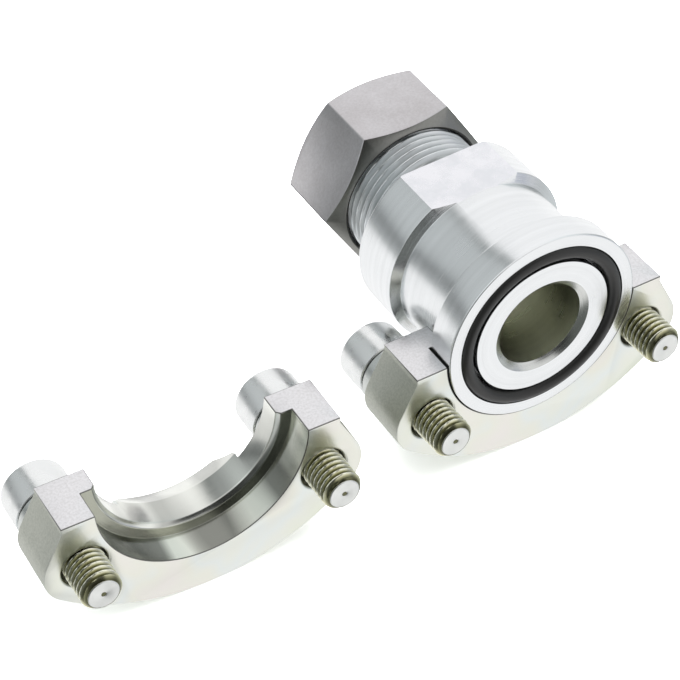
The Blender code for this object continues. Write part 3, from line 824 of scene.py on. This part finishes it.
def screw_matrix(place, side):
    """A screw hangs a little low in its hole, and its washer's lower edge touches the seat."""
    washer_front = LUG + WASHER_OUTER_R * tan(DROOP) + WASHER_GAP
    under_head = washer_front + WASHER_THICKNESS + WASHER_RISE + WASHER_GAP
    axis = Vector((0, cos(DROOP), -sin(DROOP)))
    middle = Vector((side * SPACING / 2, LUG / 2, HOLE_Z))
    tip = middle + axis * ((under_head - LUG / 2) / cos(DROOP) - SCREW_LENGTH)
    return place @ Matrix.Translation(tip) @ Matrix.Rotation(-DROOP, 4, "X")


def screw_envelope(y):
    return min(SCREW_R, SCREW_TIP_R + max(0.0, y - SCREW_THREAD_START) * 0.95)


def screw_tip(name):
    """Turned end face with its centre hole."""
    profile = [
        (0, 0.5 * MM),
        (CENTRE_FLOOR_R, 0.12 * MM),
        (CENTRE_R, 0.0),
        (TIP_FACE_R, 0.0),
        (TIP_R, TIP_EDGE),
        (TIP_R, 0.6 * MM),
        (0, 0.7 * MM),
    ]
    tip = lathe(name, profile, 72, TIP, closed=False)
    # Painted shade: the floor of the centre hole is painted near black.
    paint(tip, TIP_HOLE_SHADE, lambda c, n: from_axis(c) < CENTRE_FLOOR_R and c.y < 0.45 * MM)
    return tip


def screw_head(name):
    """Head with a hexagon socket that ends in a drill point, and a turned mouth."""
    start = SCREW_LENGTH - 1.4 * MM
    neck_r = 4.7 * MM
    socket_limit = 4.7 * MM
    mouth_r = 4.95 * MM
    profile = [
        (0, start),
        (neck_r, start),
        (neck_r, SCREW_LENGTH),
        (SCREW_HEAD_R - SCREW_HEAD_EDGE, SCREW_LENGTH),
        (SCREW_HEAD_R, SCREW_LENGTH + SCREW_HEAD_EDGE),
        (SCREW_HEAD_R, SCREW_HEAD_END, SCREW_HEAD_ROUNDING),
        (0, SCREW_HEAD_END),
    ]
    head = lathe(name, rounded(profile, 6), 96, HEAD, closed=False)
    floor = SCREW_SOCKET_FLOOR
    socket = plate("socket", hexagon(SCREW_SOCKET_WIDTH, 0), floor, SCREW_HEAD_END - floor + OVERRUN)
    point = lathe("point", [(0, floor - 1.5 * MM), (4.3 * MM, floor + 0.1 * MM), (4.3 * MM, floor + 0.2 * MM),
                            (0, floor + 0.2 * MM)], 48, closed=False)
    mouth = lathe("mouth", [(0, SCREW_HEAD_END - 0.5 * MM), (mouth_r - 0.6 * MM, SCREW_HEAD_END - 0.5 * MM),
                            (mouth_r, SCREW_HEAD_END + 0.1 * MM), (mouth_r, SCREW_HEAD_END + OVERRUN),
                            (0, SCREW_HEAD_END + OVERRUN)], 48, closed=False)
    cut(head, socket, point, mouth)
    soften(head, 0.1 * MM, angle=35)
    # Painted shade: the inside of the socket is painted darker.
    paint(head, SOCKET, lambda c, n: from_axis(c) < socket_limit
          and 30 * MM < c.y < SCREW_HEAD_END - 0.3 * MM)
    return head


def build_spring(name):
    """Square-section spring washer, almost one turn with a step at its gap."""
    steps = 96
    front = SCREW_LENGTH - WASHER_GAP - WASHER_RISE - WASHER_THICKNESS
    back = front + WASHER_THICKNESS
    rim = WASHER_OUTER_R - WASHER_EDGE
    section = [(WASHER_INNER_R, front), (rim, front), (WASHER_OUTER_R, front + WASHER_EDGE),
               (WASHER_OUTER_R, back - WASHER_EDGE), (rim, back), (WASHER_INNER_R, back)]
    bm = bmesh.new()
    face = bm.faces.new([bm.verts.new((radius, y, 0)) for radius, y in section])
    bmesh.ops.spin(bm, geom=list(face.verts) + list(face.edges) + [face], cent=(0, 0, 0), axis=(0, 1, 0),
                   dvec=(0, WASHER_RISE / steps, 0), angle=WASHER_SWEEP, steps=steps, use_duplicate=False)
    return from_bmesh(name, bm, WASHER)


def build_screw(group, place, side, word, spin):
    shank = thread_skin(f"{group}_thread_{word}", SCREW_THREAD_START, SCREW_THREAD_END, SCREW_R, SCREW_ROOT_R,
                        SCREW_PITCH, turn=spin, around=72, per_pitch=15, envelope=screw_envelope,
                        mat=SCREW_THREAD)
    tip = screw_tip(f"{group}_tip_{word}")
    head = screw_head(f"{group}_head_{word}")
    spring = build_spring(f"{group}_spring_{word}")
    smooth(spring, 30)
    for piece in (shank, tip, head):
        smooth(piece, 32)
    matrix = screw_matrix(place, side)
    for piece in (shank, tip, head, spring):
        piece.matrix_world = matrix
        bpy.context.view_layer.update()
        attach(piece, "set")
    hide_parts(f"{group}_screw_{word}")
    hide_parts(f"{group}_washer_{word}")


build_adapter()
build_seal()
build_nut()
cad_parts["cutting_ring"].data.materials.clear()
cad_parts["cutting_ring"].data.materials.append(STEEL)
for group, place in (("seated", SEATED), ("loose", LOOSE)):
    build_half(group, place, group + "_half")
    build_screw(group, place, -1, "left", 0.3)
    build_screw(group, place, 1, "right", 0.8)


# Studio that the pieces reflect. Each pair of values says where a part of it starts to show, and where it
# is full, by the x, y or z of the direction looked in.

FLOOR_GAIN = 2.8
SKY_LOW = (1.06, 1.06, 1.06)
SKY_HIGH = (1.02, 1.02, 1.025)
SKY_Z = (-0.1, 0.1)
BACK_Y = (0.15, 0.4)
WALL = ((0.0, 0.40), (0.10, 0.36), (0.20, 0.23), (0.38, 0.54), (0.6, 0.58), (1.0, 0.54))
WALL_TINT = (0.95, 1.0, 1.01)
WALL_X = (-0.06, -0.16)
WALL_FOOT_Z = (-0.20, -0.07)
WALL_TOP_Z = (0.95, 0.88)
FRAME = (0.32, 0.34, 0.34)
FRAME_X = (-0.08, -0.18)
FRAME_FAR_X = (-0.32, -0.22)
FRAME_Z = (0.0, 0.2)
SIDE = ((0.0, 0.80), (0.3, 0.70), (0.46, 0.34), (0.54, 0.42), (0.75, 0.85), (1.0, 1.0))
SIDE_X = (0.30, 0.70)
SIDE_Y = (0.52, 0.34)
RIGHT_SIDE = (0.34, 0.38, 0.48)
RIGHT_X = (0.66, 0.76)
RIGHT_Y = (-0.45, -0.55)
RIGHT_Z = (0.12, 0.0)
ROOM = ((0.0, 0.17), (0.5, 0.15), (0.65, 0.04), (1.0, 0.03))
ROOM_TINT = (0.95, 1.02, 0.98)
ROOM_Y = (-0.42, -0.58)
ROOM_LEFT_X = (0.10, -0.02)
ROOM_LEFT_Z = (-0.98, -0.70)
ROOM_TOP_X = (0.60, 0.42)
ROOM_TOP_Z = (0.35, 0.55)


def build_floor():
    """White table: it takes shadows, and reflections look past it to the studio below."""
    bpy.ops.mesh.primitive_plane_add(size=2.4, location=(0, 0, FLOOR_Z))
    floor = bpy.context.object
    floor.name = "floor"
    mat = bpy.data.materials.new("floor")
    mat.use_nodes = True
    nt = mat.node_tree
    nt.nodes.clear()
    out = nt.nodes.new("ShaderNodeOutputMaterial")
    path = nt.nodes.new("ShaderNodeLightPath")
    white = nt.nodes.new("ShaderNodeBsdfDiffuse")
    nt.links.new(mapped(nt, path.outputs["Is Camera Ray"], 0, 1, 0.85, FLOOR_GAIN), white.inputs["Color"])
    clear = nt.nodes.new("ShaderNodeBsdfTransparent")
    mixer = nt.nodes.new("ShaderNodeMixShader")
    nt.links.new(path.outputs["Is Glossy Ray"], mixer.inputs[0])
    nt.links.new(white.outputs[0], mixer.inputs[1])
    nt.links.new(clear.outputs[0], mixer.inputs[2])
    nt.links.new(mixer.outputs[0], out.inputs["Surface"])
    floor.data.materials.append(mat)


def step(nt, value, start_and_full):
    """Smooth change from 0 at the first value to 1 at the second."""
    return mapped(nt, value, *start_and_full, kind="SMOOTHSTEP")


def tinted(stops, tint):
    return [(at, tuple(grey * share for share in tint)) for at, grey in stops]


def studio_colour(nt):
    """White all round, with a grey wall at the back left and the dark room in front, left and above."""
    split = nt.nodes.new("ShaderNodeSeparateXYZ")
    nt.links.new(nt.nodes.new("ShaderNodeTexCoord").outputs["Generated"], split.inputs[0])
    x, y, z = split.outputs
    back = step(nt, y, BACK_Y)
    sky = mix(nt, step(nt, z, SKY_Z), SKY_LOW, SKY_HIGH)
    far_aside = step(nt, math_node(nt, "ABSOLUTE", x), SIDE_X)
    between = step(nt, math_node(nt, "ABSOLUTE", y), SIDE_Y)
    side = product(nt, far_aside, between)
    side_grey = ramp(nt, mapped(nt, z, -1, 1), tinted(SIDE, WALL_TINT))
    wall = product(nt, step(nt, x, WALL_X), back, step(nt, z, WALL_FOOT_Z), step(nt, z, WALL_TOP_Z))
    wall_grey = ramp(nt, mapped(nt, z, -0.1, 0.9), tinted(WALL, WALL_TINT))
    frame_line = product(nt, step(nt, x, FRAME_X), step(nt, x, FRAME_FAR_X), back, step(nt, z, FRAME_Z))
    right = product(nt, step(nt, x, RIGHT_X), step(nt, y, RIGHT_Y), step(nt, z, RIGHT_Z))
    left = product(nt, step(nt, x, ROOM_LEFT_X), step(nt, z, ROOM_LEFT_Z))
    top = product(nt, step(nt, x, ROOM_TOP_X), step(nt, z, ROOM_TOP_Z))
    room = product(nt, math_node(nt, "MAXIMUM", left, top), step(nt, y, ROOM_Y))
    dark = ramp(nt, mapped(nt, z, -1, 1), tinted(ROOM, ROOM_TINT))
    layers = ((side, side_grey), (wall, wall_grey), (frame_line, FRAME), (right, RIGHT_SIDE), (room, dark))
    colour = sky
    for cover, above in layers:
        colour = mix(nt, cover, colour, above)
    return colour


def build_world():
    """The camera sees white, and everything else the studio."""
    world = bpy.data.worlds.new("studio")
    bpy.context.scene.world = world
    world.use_nodes = True
    nt = world.node_tree
    nt.nodes.clear()
    out = nt.nodes.new("ShaderNodeOutputWorld")
    white = nt.nodes.new("ShaderNodeBackground")
    white.inputs["Color"].default_value = (1, 1, 1, 1)
    studio = nt.nodes.new("ShaderNodeBackground")
    nt.links.new(studio_colour(nt), studio.inputs["Color"])
    path = nt.nodes.new("ShaderNodeLightPath")
    mixer = nt.nodes.new("ShaderNodeMixShader")
    nt.links.new(path.outputs["Is Camera Ray"], mixer.inputs[0])
    nt.links.new(studio.outputs[0], mixer.inputs[1])
    nt.links.new(white.outputs[0], mixer.inputs[2])
    nt.links.new(mixer.outputs[0], out.inputs["Surface"])


def build_lamp():
    """Soft lamp above, for the floor's shadow."""
    place = Vector((0.05, 0.25, 0.75))
    aim = Vector((-0.04, 0.03, 0))
    data = bpy.data.lights.new("top", "AREA")
    data.shape = "RECTANGLE"
    data.size = 0.9
    data.size_y = 0.7
    data.energy = 4.0
    lamp = bpy.data.objects.new("top", data)
    bpy.context.collection.objects.link(lamp)
    lamp.location = place
    lamp.rotation_euler = (aim - place).to_track_quat("-Z", "Y").to_euler()
    lamp.visible_glossy = False


build_floor()
build_world()
build_lamp()


# Camera solved from the photograph, whose frame is 680 pixels wide

IMAGE_WIDTH = 680
FOCAL_LENGTH_IN_PIXELS = 2353.2
SENSOR_WIDTH = 36.0
CAMERA_RIGHT = Vector((0.865954, -0.500008, -0.010727))
CAMERA_DOWN = Vector((-0.349965, -0.590497, -0.727212))
CAMERA_FORWARD = Vector((0.357278, 0.633487, -0.686329))
CAMERA_PLACE = Vector((-234.036404, -320.245068, 368.452126)) * MM
CAMERA_YAW = Matrix.Rotation(radians(-0.874), 3, "Z")


def build_camera():
    data = bpy.data.cameras.new("camera")
    data.sensor_width = SENSOR_WIDTH
    data.lens = FOCAL_LENGTH_IN_PIXELS / IMAGE_WIDTH * SENSOR_WIDTH
    data.clip_start = 0.01
    cam = bpy.data.objects.new("camera", data)
    bpy.context.collection.objects.link(cam)
    turn = Matrix((CAMERA_RIGHT, -CAMERA_DOWN, -CAMERA_FORWARD)).transposed()
    cam.matrix_world = Matrix.Translation(CAMERA_YAW @ CAMERA_PLACE) @ (CAMERA_YAW @ turn).to_4x4()
    bpy.context.scene.camera = cam


build_camera()
bpy.context.scene.view_settings.view_transform = "Standard"
bpy.context.scene.view_settings.look = "None"
